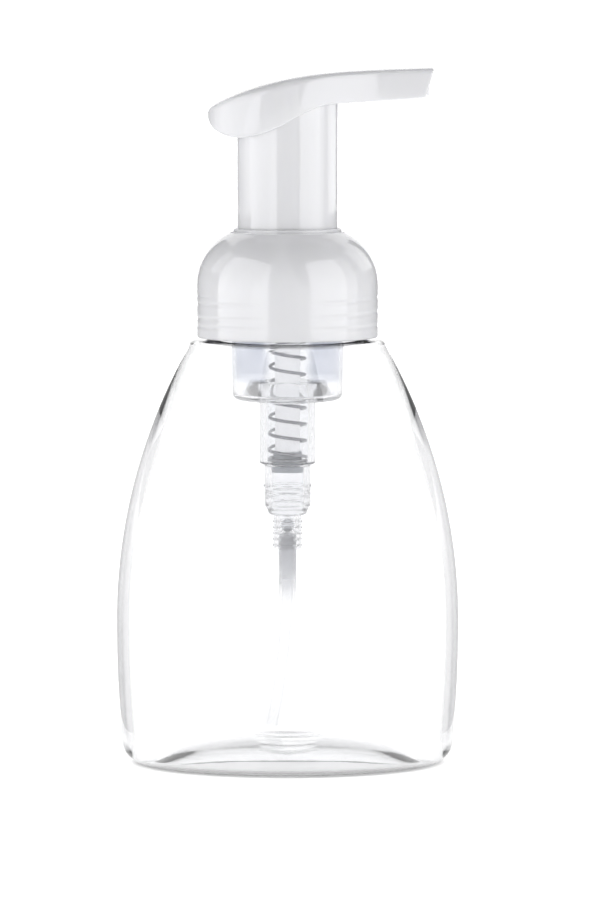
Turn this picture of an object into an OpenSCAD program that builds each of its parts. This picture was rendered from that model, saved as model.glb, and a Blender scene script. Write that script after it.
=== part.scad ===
// Foaming soap dispenser: an oval bottle with a screw-on foam pump.
// Millimetres, +Z up. The origin is the middle of the bottle's base, on the pump's axis,
// and the nozzle points along +X. The pump is drawn at rest, with its head up.

/* [Bottle] */
// Widest half-width of the bottle, along X
body_half_w = 41.6; // [34:0.2:52]
// Half-depth of the bottle's body, along Y
body_half_d = 26; // [20:0.5:34]
// Height of the shoulder, where the neck begins
shoulder_z = 103.1; // [86:0.1:124]
// Height at which the bottle is widest
widest_z = 34.5; // [20:0.5:50]
// Radius of the round shoulder
shoulder_r = 23.1; // [22:0.1:27]
// Half-width of the side at the base, before its edge is rounded
base_half_w = 40; // [33:0.2:51]
// Wall thickness of the bottle's body
body_wall = 0.9; // [0.6:0.1:1.6]
// Rounding of the edge between the side and the base
heel_r = 5; // [3:0.5:8]
// Height of the pushed-up base above the table
push_up = 5.2; // [2:0.2:8]

/* [Neck and thread] */
// Outer radius of the neck, at the thread's root
neck_r = 18.8; // [15:0.1:23]
// Wall thickness of the neck
neck_wall = 1.8; // [1.2:0.1:2.6]
// Height of the neck above the shoulder
neck_h = 14.9; // [12:0.1:20]
// Rise of the thread in one turn
thread_pitch = 3.4; // [3:0.1:4.4]
// Height of the thread's ridge above its root
thread_h = 1.1; // [0.8:0.05:1.3]
// Turns of thread on the neck
thread_turns = 1.75; // [1:0.25:2]

/* [Closure] */
// Wall thickness of the screw collar
collar_wall = 1.7; // [1.4:0.1:2.2]
// Radius of the dome's shoulder arc
dome_arc_r = 14; // [12:0.1:16]
// Gap between the collar's lower rim and the bottle's shoulder
collar_gap = 0.8; // [0.5:0.1:2]

/* [Pump] */
// Travel of the pump's head when it is pressed
stroke = 9.5; // [6:0.1:10]
// Bore radius of the air cylinder
air_bore_r = 12.6; // [12:0.1:13]
// Wall thickness of the air cylinder
air_wall = 0.9; // [0.7:0.1:1.3]
// Bore radius of the liquid cylinder
liquid_bore_r = 4; // [3.9:0.02:4.2]
// Outer radius of the liquid cylinder
liquid_r = 5.7; // [5.2:0.1:6.2]
// Outer radius of the spring's housing
spring_house_r = 6.9; // [6.5:0.1:7.6]
// Outer radius of the return spring
spring_r = 4.6; // [4.4:0.05:4.8]
// Diameter of the spring wire
wire_d = 0.8; // [0.6:0.05:0.9]
// Pitch of the spring's open coils
spring_pitch = 3.95; // [3:0.05:5]
// Outer radius of the piston rod
rod_r = 3.1; // [2.8:0.05:3.3]
// Outer radius of the dip tube
tube_r = 2.2; // [1.8:0.05:2.4]
// Radius of the dip tube's gentle bend
tube_bend_r = 190; // [120:5:400]

/* [Head] */
// Outer radius of the sleeve under the head
sleeve_r = 12.2; // [11.6:0.05:12.2]
// Reach of the nozzle from the axis
nozzle_reach = 35.2; // [26:0.2:40]
// Reach of the head's back from the axis
back_reach = 19.2; // [16:0.2:24]
// Half-width of the head's widest place
head_half_w = 13; // [12.9:0.1:16]
// Half-width of the nozzle's tip
tip_half_w = 5.6; // [5:0.1:8]
// Distance from the axis at which the nozzle's sides become parallel
taper_end = 27; // [20:0.5:30]
// Height of the head's top above the collar, at the tip
head_rise = 38.8; // [34:0.2:44]

/* [Hidden] */
$fn = 96;

cut = 0.01;             // how far a cutter runs past a face
fit = 0.05;             // radial clearance of a running or sealing fit
gap = 0.3;              // clearance between neighbours that move apart
mesh_points = 64;       // points round one ring of the bottle

// Heights, from the bottle up
land_z = shoulder_z + neck_h;
gasket_h = 1;
gasket_z = land_z + 0.02;
flange_z = gasket_z + gasket_h;
flange_h = 1.3;
guide_z = flange_z + flange_h;
guide_h = 1.2;
neck_bore_r = neck_r - neck_wall;
flange_r = neck_r + 0.6;

neck_thread_z = land_z - 2.6 - thread_pitch * thread_turns;

// Air cylinder
bell_wall = 1.1;
bell_bore_r = air_bore_r + 1.8;
bell_floor_z = flange_z - 9.1;
air_r = air_bore_r + air_wall;
air_bottom_z = flange_z - 30.3;
cone_h = 4.4;
cone_top_r = 9.3;
cone_foot_r = 10.9;
cone_wall = 1.1;

// Liquid cylinder
spring_bore_r = spring_r + 0.6;
spring_seat_z = flange_z - 45.4;
liquid_floor_z = spring_seat_z - 12.4;
liquid_bottom_z = liquid_floor_z - 0.5;
ball_seat_z = liquid_floor_z - 4.2;
socket_r = 3.4;
socket_bottom_z = ball_seat_z - 4.5;
ball_r = 1.6;
ball_hole_r = 1.2;
ball_chamber_r = 1.9;
cage_r = 1.3;
cage_h = 0.35;
tube_wall = 0.75;
tube_top_z = ball_seat_z - 0.8;
tube_straight_z = socket_bottom_z - 5;
tube_end_z = push_up + 3.5;

// Moving pistons
piston_skirt_h = 2.2;
piston_bottom_z = liquid_floor_z + stroke + 0.5;
piston_core_r = rod_r + 0.45;
rod_bore_r = 1.7;
rod_top_z = flange_z - 5;
spring_top_z = flange_z - 15;
rod_flange_h = 1.2;
hub_z = spring_top_z + rod_flange_h;
air_seal_top_z = bell_floor_z + 0.9;
air_seal_h = 6.4;
air_web_z = air_seal_top_z - 3.3;
air_web_h = 1.2;
air_hole_r = 0.8;
air_hole_ring_r = 9;
air_hole_count = 6;
hub_r = 6.2;
chamber_r = 5.2;
chamber_bottom_z = rod_top_z - 1.8;
chamber_top_z = flange_z + 5;
discharge_ball_r = 2.3;

// Guide ring
lip_r = 10.9;
lip_z = air_seal_top_z + gap;
lip_h = 1.2;
guide_bore_r = sleeve_r + 0.4;
guide_tube_r = guide_bore_r + 0.6;
collar_top_z = land_z + 12;

// Closure
collar_bottom_z = shoulder_z + collar_gap;
dome_z = land_z - 1.55;
collar_bore_r = neck_r + thread_h + 0.4;
collar_r = collar_bore_r + collar_wall;
dome_r = collar_r - dome_arc_r;
opening_r = guide_tube_r + 0.3;
dome_bore_arc_r = dome_arc_r - collar_wall;
press_rib_r = guide_tube_r + 1.2;

// Head and sleeve
sleeve_wall = 1.1;
sleeve_bottom_z = collar_top_z - 6;
sleeve_top_z = collar_top_z + 30.2;
stem_bore_r = chamber_r + gap;
stem_r = stem_bore_r + 1.2;
stem_bottom_z = hub_z + air_seal_h + 1.6;
stem_web_z = collar_top_z + 10;
stem_web_h = 1.2;
cartridge_bottom_z = chamber_top_z + gap;
cartridge_h = 11.5;
cartridge_r = stem_bore_r - fit;
mesh_h = 0.5;
head_top_z = collar_top_z + head_rise;
channel_r = 2.4;
channel_z = head_top_z - 5.8;
channel_tip_z = head_top_z - 3.7;
insert_r = 3.3;
insert_h = 4;

// ---- Bottle ----

// An upright arc that draws the side in by inset over a height of rise
function arc_in(inset, rise, dz) = let (r = (rise * rise + inset * inset) / (2 * inset)) r - sqrt(r * r - dz * dz);

// Half-width of the body along X at height z, without the heel's rounding
function side_w(z) = body_half_w - (z > widest_z
    ? arc_in(body_half_w - shoulder_r, shoulder_z - widest_z, z - widest_z)
    : arc_in(body_half_w - base_half_w, widest_z, widest_z - z));

// Half-depth along Y at height z, without the heel's rounding
function side_d(z) = z > widest_z
    ? body_half_d - (body_half_d - shoulder_r) * pow((z - widest_z) / (shoulder_z - widest_z), 2.5)
    : side_w(z) * body_half_d / body_half_w;

// How far a heel of radius r that starts at height z0 draws the outline in at height z
function heel_in(z, r, z0) = z - z0 < r ? r - sqrt(r * r - pow(r - z + z0, 2)) : 0;

// One closed ring of points: an ellipse at height z
function ring(z, w, d) = [for (i = [0 : mesh_points - 1])
    let (a = 360 * i / mesh_points) [w * cos(a), d * sin(a), z]];

// A ring drawn in from the outline by inset, at height z
function wall_ring(z, inset) = let (drawn = heel_in(z, heel_r - inset, inset) + inset)
    ring(z, side_w(z) - drawn, side_d(z) - drawn);

// A ring of the pushed-up base: share is 1 at the standing edge and 0 at the middle
function base_ring(share, rise) = ring(rise, (side_w(0) - heel_r) * share, (side_d(0) - heel_r) * share);

heel_steps = [0, 0.03, 0.12, 0.28, 0.5, 0.75, 1];
side_steps = [for (i = [1 : 16]) i / 16];
stand_share = 0.96;
base_shares = [1, stand_share, 0.9, 0.82, 0.73, 0.6, 0.4, 0.22, 0.14, 0.07];

// Height of the pushed-up base at a share of its radius, with a shallow dimple in the middle
function base_rise(share) = share < stand_share
    ? push_up * (1 - pow(share / stand_share, 3)) * (share < 0.15 ? 0.82 : 1)
    : 0;

outer_rings = concat(
    [for (s = base_shares) if (s < 1) base_ring(s, base_rise(s))],
    [base_ring(1, 0)],
    [for (t = heel_steps) if (t > 0) wall_ring(heel_r * t, 0)],
    [for (t = side_steps) wall_ring(heel_r + (shoulder_z - heel_r) * t, 0)]);

inner_top_z = shoulder_z - body_wall;
inner_rings = concat(
    [for (s = base_shares) if (s < 1) base_ring(s, base_rise(s) + body_wall)],
    [base_ring(1, body_wall)],
    [for (t = heel_steps) if (t > 0) wall_ring(body_wall + (heel_r - body_wall) * t, body_wall)],
    [for (t = side_steps) wall_ring(heel_r + (inner_top_z - heel_r) * t, body_wall)]);

// Orders the rings from the middle of the base outwards, then up the wall
function base_first(rings) = concat([for (i = [len(base_shares) - 2 : -1 : 0]) rings[i]],
                                    [for (i = [len(base_shares) - 1 : len(rings) - 1]) rings[i]]);

// A closed solid through a stack of rings
module loft(rings) {
    n = mesh_points;
    last = len(rings) - 1;
    points = [for (r = rings) each r];
    faces = concat(
        [[for (i = [0 : n - 1]) i]],
        [[for (i = [n - 1 : -1 : 0]) last * n + i]],
        [for (k = [0 : last - 1], i = [0 : n - 1])
            [k * n + i, (k + 1) * n + i, (k + 1) * n + (i + 1) % n, k * n + (i + 1) % n]]);
    polyhedron(points, faces, convexity = 4);
}

// A screw ridge on a cylinder of radius root_r; grow is 1 outwards and -1 inwards
module thread_ridge(root_r, z, turns, grow) {
    steps = ceil(turns * 32);
    sunk = 0.35;
    half_root = 0.75;
    half_crest = 0.35;
    // The ridge rises out of its root over its first eighth of a turn and sinks at its last
    function height(i) = thread_h * min(1, min(i, steps - i) / 4 + 0.12);
    points = [for (i = [0 : steps])
        let (a = 360 * turns * i / steps, zz = z + thread_pitch * turns * i / steps,
             r0 = root_r - grow * sunk, r1 = root_r + grow * height(i))
        each [for (p = [[r0, -half_root], [r1, -half_crest], [r1, half_crest], [r0, half_root]])
            [p[0] * cos(a), p[0] * sin(a), zz + p[1]]]];
    side_faces = [for (i = [0 : steps - 1], j = [0 : 3])
        [i * 4 + j, i * 4 + (j + 1) % 4, (i + 1) * 4 + (j + 1) % 4, (i + 1) * 4 + j]];
    end_faces = [[3, 2, 1, 0], [for (j = [0 : 3]) steps * 4 + j]];
    all_faces = concat(side_faces, end_faces);
    polyhedron(points, grow > 0 ? all_faces : [for (f = all_faces) [for (i = [len(f) - 1 : -1 : 0]) f[i]]],
               convexity = 6);
}

module bottle() {
    color([0.93, 0.95, 0.97, 0.35]) {
        difference() {
            union() {
                loft(base_first(outer_rings));
                translate([0, 0, inner_top_z]) cylinder(r = neck_r, h = land_z - inner_top_z);
            }
            loft(base_first(inner_rings));
            translate([0, 0, inner_top_z - 1]) cylinder(r = neck_bore_r, h = neck_h + 5);
        }
        thread_ridge(neck_r, neck_thread_z, thread_turns, 1);
    }
}

// ---- Closure ----

// Points along an arc about (cr, cz) from angle a0 to a1, in the radius and height plane
function arc(cr, cz, r, a0, a1, steps) =
    [for (i = [0 : steps]) let (a = a0 + (a1 - a0) * i / steps) [cr + r * cos(a), cz + r * sin(a)]];

module closure() {
    outer_end = acos((opening_r - dome_r) / dome_arc_r);
    inner_end = acos((opening_r - dome_r) / dome_bore_arc_r);
    rim = 0.5;
    color([0.95, 0.95, 0.96]) {
        difference() {
            rotate_extrude() polygon(concat(
                [[collar_bore_r, collar_bottom_z + rim], [collar_bore_r + rim, collar_bottom_z]],
                arc(collar_r - rim, collar_bottom_z + rim, rim, -90, 0, 4),
                arc(dome_r, dome_z, dome_arc_r, 0, outer_end, 24),
                arc(dome_r, dome_z, dome_bore_arc_r, inner_end, 0, 16)));
            translate([0, 0, collar_bottom_z - 1]) cylinder(r = opening_r, h = 40);
        }
        // Rib that bears on the guide ring
        rib_bottom = guide_z + guide_h + 0.15;
        rib_top = dome_z + sqrt(pow(dome_bore_arc_r, 2) - pow(press_rib_r - dome_r, 2)) + 0.4;
        translate([0, 0, rib_bottom]) difference() {
            cylinder(r = press_rib_r, h = rib_top - rib_bottom);
            translate([0, 0, -cut]) cylinder(r = opening_r, h = 20);
        }
        // The collar's ridge runs midway between the turns of the neck's
        thread_ridge(collar_bore_r, neck_thread_z - thread_pitch / 2, thread_turns - 0.25, -1);
    }
}

// ---- Fixed pump pieces ----

// A ring-shaped piece from z0 to z1 between two radii
module tube(r_in, r_out, z0, z1) {
    translate([0, 0, z0]) difference() {
        cylinder(r = r_out, h = z1 - z0);
        translate([0, 0, -cut]) cylinder(r = r_in, h = z1 - z0 + 2 * cut);
    }
}

module neck_gasket() {
    color([0.86, 0.87, 0.88]) tube(neck_bore_r + 0.2, flange_r, gasket_z, gasket_z + gasket_h);
}

module pump_cylinder() {
    color([0.88, 0.92, 0.97, 0.5]) {
        round_r = 1.4;
        seat_r = spring_bore_r;
        rotate_extrude() polygon(concat(
            // Outside, from the socket's foot up
            [[tube_r + 0.02, socket_bottom_z], [socket_r, socket_bottom_z], [socket_r, liquid_bottom_z]],
            arc(liquid_r - 1.9, liquid_bottom_z + 1.1, 1.1, -90, 0, 4),
            [[liquid_r, liquid_bottom_z + 4.2], [liquid_r, spring_seat_z - 0.9],
             [spring_house_r, spring_seat_z - 0.2], [spring_house_r, air_bottom_z]],
            arc(air_r - round_r, air_bottom_z + round_r, round_r, -90, 0, 6),
            [[air_r, bell_floor_z - 1.1], [bell_bore_r + bell_wall, bell_floor_z + 0.4],
             [bell_bore_r + bell_wall, flange_z], [flange_r, flange_z], [flange_r, guide_z],
             // Inside, from the flange down
             [bell_bore_r, guide_z], [bell_bore_r, bell_floor_z], [air_bore_r, bell_floor_z],
             [air_bore_r, air_bottom_z + 1.1], [cone_foot_r, air_bottom_z + 1.1],
             [cone_top_r, air_bottom_z + cone_h], [seat_r, air_bottom_z + cone_h],
             [seat_r, spring_seat_z], [liquid_bore_r, spring_seat_z], [liquid_bore_r, liquid_floor_z],
             [cage_r, liquid_floor_z], [cage_r, liquid_floor_z - cage_h],
             [ball_chamber_r, liquid_floor_z - cage_h - 0.4], [ball_chamber_r, ball_seat_z],
             [ball_hole_r, ball_seat_z], [ball_hole_r, tube_top_z], [tube_r + 0.02, tube_top_z]]));
        // Ribs round the dip tube's socket
        for (i = [0 : 4])
            tube(socket_r - 0.1, socket_r + 0.3, socket_bottom_z + 0.5 + 1.45 * i, socket_bottom_z + 1.1 + 1.45 * i);
        // Ring round the liquid cylinder
        tube(liquid_r - 0.1, liquid_r + 0.25, spring_seat_z - 6.1, spring_seat_z - 5.5);
    }
}

module guide_ring() {
    color([0.93, 0.93, 0.94]) {
        skirt_r = bell_bore_r - 0.15;
        tube(guide_bore_r, flange_r - 0.5, guide_z + 0.05, guide_z + guide_h);
        tube(skirt_r - 0.9, skirt_r, lip_z, guide_z + 0.5);
        tube(lip_r, skirt_r, lip_z, lip_z + lip_h);
        tube(guide_bore_r, guide_tube_r, guide_z + 0.1, collar_top_z + 0.1);
    }
}

// The tube runs straight down out of its socket and then bends gently towards -X
module dip_tube() {
    bend = asin((tube_straight_z - tube_end_z) / tube_bend_r);
    color([0.93, 0.95, 0.97, 0.5]) {
        tube(tube_r - tube_wall, tube_r, tube_straight_z, tube_top_z - 0.05);
        translate([-tube_bend_r, 0, tube_straight_z]) rotate([-90, 0, 0])
            rotate_extrude(angle = bend, $fn = 360) translate([tube_bend_r, 0]) difference() {
                circle(r = tube_r, $fn = 48);
                circle(r = tube_r - tube_wall, $fn = 48);
            }
    }
}

module inlet_ball() {
    seat = sqrt(ball_r * ball_r - ball_hole_r * ball_hole_r);
    color([0.75, 0.76, 0.78]) translate([0, 0, ball_seat_z + seat + 0.05]) sphere(r = ball_r);
}

// ---- Return spring ----

// The coil's height after a share of its turns: closed at both ends and open between
function coil_z(u, closed, turns) =
    u < closed ? wire_d * u
    : u > turns - closed ? (turns - closed - closed) * spring_pitch + wire_d * closed + wire_d * (u - turns + closed)
    : wire_d * closed + (u - closed) * spring_pitch;

module return_spring() {
    closed = 1;
    height = spring_top_z - spring_seat_z - wire_d;
    turns = (height - 2 * wire_d * closed) / spring_pitch + 2 * closed;
    steps = ceil(turns * 20);
    sides = 8;
    wire_r = wire_d / 2;
    mean_r = spring_r - wire_r;
    // A left-hand coil, so its angle runs backwards as it climbs
    points = [for (i = [0 : steps], j = [0 : sides - 1])
        let (u = turns * i / steps, a = -360 * u, b = 360 * j / sides, r = mean_r + wire_r * cos(b))
        [r * cos(a), r * sin(a), spring_seat_z + wire_r + coil_z(u, closed, turns) + wire_r * sin(b)]];
    faces = concat(
        [[for (j = [0 : sides - 1]) j]],
        [[for (j = [sides - 1 : -1 : 0]) steps * sides + j]],
        [for (i = [0 : steps - 1], j = [0 : sides - 1])
            [i * sides + j, (i + 1) * sides + j, (i + 1) * sides + (j + 1) % sides, i * sides + (j + 1) % sides]]);
    color([0.66, 0.67, 0.69]) polyhedron(points, faces, convexity = 20);
}

// ---- Moving pump pieces ----

module piston_rod() {
    color([0.94, 0.95, 0.96]) {
        tube(rod_bore_r, rod_r, piston_bottom_z + 0.4, rod_top_z);
        tube(rod_r - 0.1, spring_r + 0.4, spring_top_z, hub_z);
    }
}

module liquid_piston() {
    lip = 0.5;
    color([0.88, 0.91, 0.95]) rotate_extrude() polygon([
        [rod_r, piston_bottom_z + 0.4], [rod_r, piston_bottom_z + 5],
        [piston_core_r, piston_bottom_z + 5], [piston_core_r, piston_bottom_z + piston_skirt_h - 0.2],
        [liquid_bore_r - fit, piston_bottom_z + piston_skirt_h - 0.6],
        [liquid_bore_r - fit, piston_bottom_z + lip], [liquid_bore_r - fit, piston_bottom_z],
        [liquid_bore_r - fit - 0.3, piston_bottom_z], [rod_r + 0.2, piston_bottom_z + 0.4]]);
}

module air_piston() {
    seal_r = air_bore_r - fit;
    seal_wall = 0.7;
    color([0.94, 0.94, 0.95]) difference() {
        union() {
            tube(rod_r, hub_r, hub_z, hub_z + air_seal_h - 1);
            tube(hub_r - 0.5, seal_r - seal_wall + 0.2, air_web_z, air_web_z + air_web_h);
            tube(seal_r - seal_wall, seal_r, air_seal_top_z - air_seal_h, air_seal_top_z);
        }
        for (i = [0 : air_hole_count - 1])
            rotate([0, 0, i * 360 / air_hole_count])
                translate([air_hole_ring_r, 0, air_web_z - 1]) cylinder(r = air_hole_r, h = air_web_h + 2);
    }
}

module air_inlet_valve() {
    color([0.9, 0.91, 0.93]) tube(hub_r + 0.3, air_bore_r - 1.6, air_web_z - 0.5, air_web_z - 0.02);
}

module mixing_chamber() {
    stop_z = rod_top_z + 5.6;
    color([0.93, 0.94, 0.95]) difference() {
        translate([0, 0, chamber_bottom_z]) cylinder(r = chamber_r, h = chamber_top_z - chamber_bottom_z);
        translate([0, 0, chamber_bottom_z - cut]) cylinder(r = rod_r + 0.02, h = rod_top_z - chamber_bottom_z + cut);
        translate([0, 0, rod_top_z - cut]) cylinder(r = discharge_ball_r + 0.4, h = stop_z - rod_top_z + cut);
        translate([0, 0, stop_z - cut]) cylinder(r = discharge_ball_r - 0.6, h = 3);
        translate([0, 0, stop_z + 1]) cylinder(r = chamber_r - 1.2, h = chamber_top_z);
    }
}

module discharge_ball() {
    seat = sqrt(pow(discharge_ball_r, 2) - pow(rod_bore_r, 2));
    color([0.75, 0.76, 0.78]) translate([0, 0, rod_top_z + seat + 0.05]) sphere(r = discharge_ball_r);
}

// ---- Head ----

module mesh_cartridge() {
    color([0.95, 0.95, 0.96]) difference() {
        translate([0, 0, cartridge_bottom_z]) cylinder(r = cartridge_r, h = cartridge_h);
        translate([0, 0, cartridge_bottom_z - cut]) cylinder(r = cartridge_r - 1.1, h = cartridge_h + 2 * cut);
    }
}

// A fine woven screen: two crossed rows of strands inside the cartridge
module mesh_screen(z) {
    r = cartridge_r - 1.1 - 0.02;
    strand = 0.35;
    pitch = 1.05;
    rows = floor(r / pitch);
    color([0.9, 0.91, 0.93]) translate([0, 0, z]) {
        tube(r - 0.5, r, 0, mesh_h);
        for (turn = [0, 90], i = [-rows : rows])
            rotate([0, 0, turn]) intersection() {
                translate([-r, i * pitch - strand / 2, 0.1]) cube([2 * r, strand, mesh_h - 0.2]);
                cylinder(r = r - 0.25, h = mesh_h);
            }
    }
}

module lower_mesh() {
    mesh_screen(cartridge_bottom_z + 1);
}

module upper_mesh() {
    mesh_screen(cartridge_bottom_z + cartridge_h - 1.5);
}

module actuator_sleeve() {
    inner_r = sleeve_r - sleeve_wall;
    color([0.95, 0.95, 0.96]) {
        tube(inner_r, sleeve_r, sleeve_bottom_z, sleeve_top_z);
        tube(stem_bore_r, stem_r, stem_bottom_z, sleeve_top_z);
        tube(stem_r - 0.3, inner_r + 0.3, stem_web_z, stem_web_z + stem_web_h);
    }
}

// Height of the head's top at x, nearly flat at the nozzle and falling away to the back
function head_top(x) = let (d = nozzle_reach - x) head_top_z - 0.03 * d - 0.95 * pow(d / 31.8, 4);

// Half-width of the head at x: round at the back and a slow S to the tip
function head_w(x, x0) = x < x0
    ? head_half_w * sqrt(max(0, 1 - pow((x - x0) / (back_reach + x0), 2)))
    : tip_half_w + (head_half_w - tip_half_w) * pow(cos(90 * min(1, (x - x0) / (taper_end - x0))), 2);

module head_plan() {
    x0 = -2;
    back = [for (a = [180 : -10 : 100]) [x0 + (back_reach + x0) * cos(a), head_half_w * sin(a)]];
    front = [for (i = [0 : 14]) let (x = x0 + (nozzle_reach - x0) * i / 14) [x, head_w(x, x0)]];
    upper = concat(back, front);
    polygon(concat(upper, [for (i = [len(upper) - 1 : -1 : 1]) [upper[i][0], -upper[i][1]]]));
}

// The head's outline from the side
module head_side() {
    top = [for (i = [0 : 18]) let (x = -back_reach + 1 + (nozzle_reach + back_reach - 1) * i / 18) [x, head_top(x)]];
    skirt = collar_top_z + 22;
    polygon(concat(top, [
        [nozzle_reach - 1.5, head_top_z - 7.2], [13, skirt + 8.1], [9.5, skirt + 7.9], [7, skirt + 7.2],
        [3.5, skirt + 5.4], [0, skirt + 3.4], [-3, skirt + 2], [-7, skirt + 0.8], [-12, skirt],
        [-15.3 / 19.2 * back_reach, skirt + 0.8], [-17.9 / 19.2 * back_reach, skirt + 2.5],
        [-back_reach, skirt + 5.1], [-back_reach, skirt + 6.8]]));
}

// Cuts along the foam channel, from the stem out through the nozzle
module foam_channel(r, from_x) {
    slope = atan((channel_tip_z - channel_z) / nozzle_reach);
    translate([0, 0, channel_z]) rotate([0, 90 - slope, 0])
        translate([0, 0, from_x]) cylinder(r = r, h = nozzle_reach + 10 - from_x);
}

module actuator_head() {
    socket_z = sleeve_top_z + 0.1;
    color([0.95, 0.95, 0.96]) difference() {
        intersection() {
            translate([0, 0, collar_top_z]) linear_extrude(height = 60) head_plan();
            rotate([90, 0, 0]) translate([0, 0, -30]) linear_extrude(height = 60) head_side();
        }
        // Socket for the sleeve
        translate([0, 0, collar_top_z]) cylinder(r = sleeve_r + 0.02, h = socket_z - collar_top_z);
        // Space between the crown and the foam well
        tube(stem_r + 1, sleeve_r - 2.2, socket_z - 1, channel_z + 0.2);
        // Foam well over the stem
        translate([0, 0, socket_z - 1]) cylinder(r = stem_bore_r - 0.4, h = channel_z - socket_z + 2.6);
        foam_channel(channel_r, 0);
        foam_channel(insert_r + 0.02, nozzle_reach - insert_h - 1);
    }
}

module nozzle_insert() {
    slope = atan((channel_tip_z - channel_z) / nozzle_reach);
    color([0.94, 0.94, 0.95]) translate([0, 0, channel_z]) rotate([0, 90 - slope, 0])
        tube(channel_r - 0.5, insert_r, nozzle_reach - insert_h - 0.9, nozzle_reach - 1.2);
}

bottle();
closure();
neck_gasket();
pump_cylinder();
guide_ring();
dip_tube();
inlet_ball();
piston_rod();
liquid_piston();
return_spring();
air_piston();
air_inlet_valve();
mixing_chamber();
discharge_ball();
mesh_cartridge();
lower_mesh();
upper_mesh();
actuator_sleeve();
actuator_head();
nozzle_insert();
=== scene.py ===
"""Foaming soap dispenser: the looks of its bottle, collar, pump and head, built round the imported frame.

Lengths are metres in the frame's own axes: +Z up the pump and +X towards the nozzle.
"""

from __future__ import annotations

import logging
import math
from collections.abc import Callable, Sequence
from dataclasses import dataclass, field
from enum import Enum

import bpy
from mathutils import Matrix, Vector

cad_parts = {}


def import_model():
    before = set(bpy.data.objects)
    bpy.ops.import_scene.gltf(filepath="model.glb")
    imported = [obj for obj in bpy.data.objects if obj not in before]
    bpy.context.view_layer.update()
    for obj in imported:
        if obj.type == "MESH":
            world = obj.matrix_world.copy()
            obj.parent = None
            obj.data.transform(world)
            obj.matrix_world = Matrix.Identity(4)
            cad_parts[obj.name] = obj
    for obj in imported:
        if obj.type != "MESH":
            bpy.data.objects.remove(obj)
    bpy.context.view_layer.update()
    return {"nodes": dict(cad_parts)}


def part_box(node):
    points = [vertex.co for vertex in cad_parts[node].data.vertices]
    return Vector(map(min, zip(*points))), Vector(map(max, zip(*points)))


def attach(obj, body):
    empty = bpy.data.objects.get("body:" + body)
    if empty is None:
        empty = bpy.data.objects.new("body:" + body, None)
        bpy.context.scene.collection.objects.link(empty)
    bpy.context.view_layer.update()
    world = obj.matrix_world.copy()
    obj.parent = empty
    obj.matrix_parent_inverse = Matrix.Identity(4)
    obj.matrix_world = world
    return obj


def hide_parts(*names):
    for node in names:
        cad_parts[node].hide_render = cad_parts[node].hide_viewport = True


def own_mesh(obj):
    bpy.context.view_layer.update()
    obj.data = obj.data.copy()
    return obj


LOG = logging.getLogger("dispenser")
MM = 0.001
FULL_TURN = 2 * math.pi

TINY = 0.01 * MM

Point = tuple[float, float]
Ring = tuple[float, float, float]
Colour = tuple[float, float, float]

BLACK: Colour = (0.0, 0.0, 0.0)
WHITE: Colour = (1.0, 1.0, 1.0)
HAZE_GREY = (0.56, 0.56, 0.57, 1.0)


class Body(str, Enum):
    """The CAD bodies that pieces ride on."""

    BOTTLE = "bottle_body"
    PUMP = "pump_body"
    COLLAR = "collar_body"
    HEAD = "head_body"


class Slot(str, Enum):
    """The record's material slots."""

    PET = "pet_clear"
    WHITE = "pp_white"
    NATURAL = "pp_natural"
    TUBE = "pe_tube"
    SEAL = "seal"
    SCREEN = "mesh"
    SPRING = "spring_steel"
    BALL = "steel_ball"


# ---------------------------------------------------------------- shader recipes


class Signal:
    """A number that varies over a surface, held as a shader socket, for use in Python expressions."""

    def __init__(self, recipe: Recipe, socket: bpy.types.NodeSocket) -> None:
        """Wraps a socket of a recipe's node tree."""
        self.recipe = recipe
        self.socket = socket

    def _join(self, operation: str, first: Signal | float, second: Signal | float) -> Signal:
        """Adds a Math node for one operation on two values."""
        node = self.recipe.add("ShaderNodeMath", {"operation": operation}, {0: first, 1: second})
        return Signal(self.recipe, node.outputs[0])

    def __add__(self, other: Signal | float) -> Signal:
        """self + other."""
        return self._join("ADD", self, other)

    __radd__ = __add__

    def __mul__(self, other: Signal | float) -> Signal:
        """self * other."""
        return self._join("MULTIPLY", self, other)

    __rmul__ = __mul__

    def __sub__(self, other: Signal | float) -> Signal:
        """self - other."""
        return self._join("SUBTRACT", self, other)

    def size(self) -> Signal:
        """The value without its sign."""
        node = self.recipe.add("ShaderNodeMath", {"operation": "ABSOLUTE"}, {0: self})
        return Signal(self.recipe, node.outputs[0])

    def __rsub__(self, other: Signal | float) -> Signal:
        """other - self."""
        return self._join("SUBTRACT", other, self)


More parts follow.
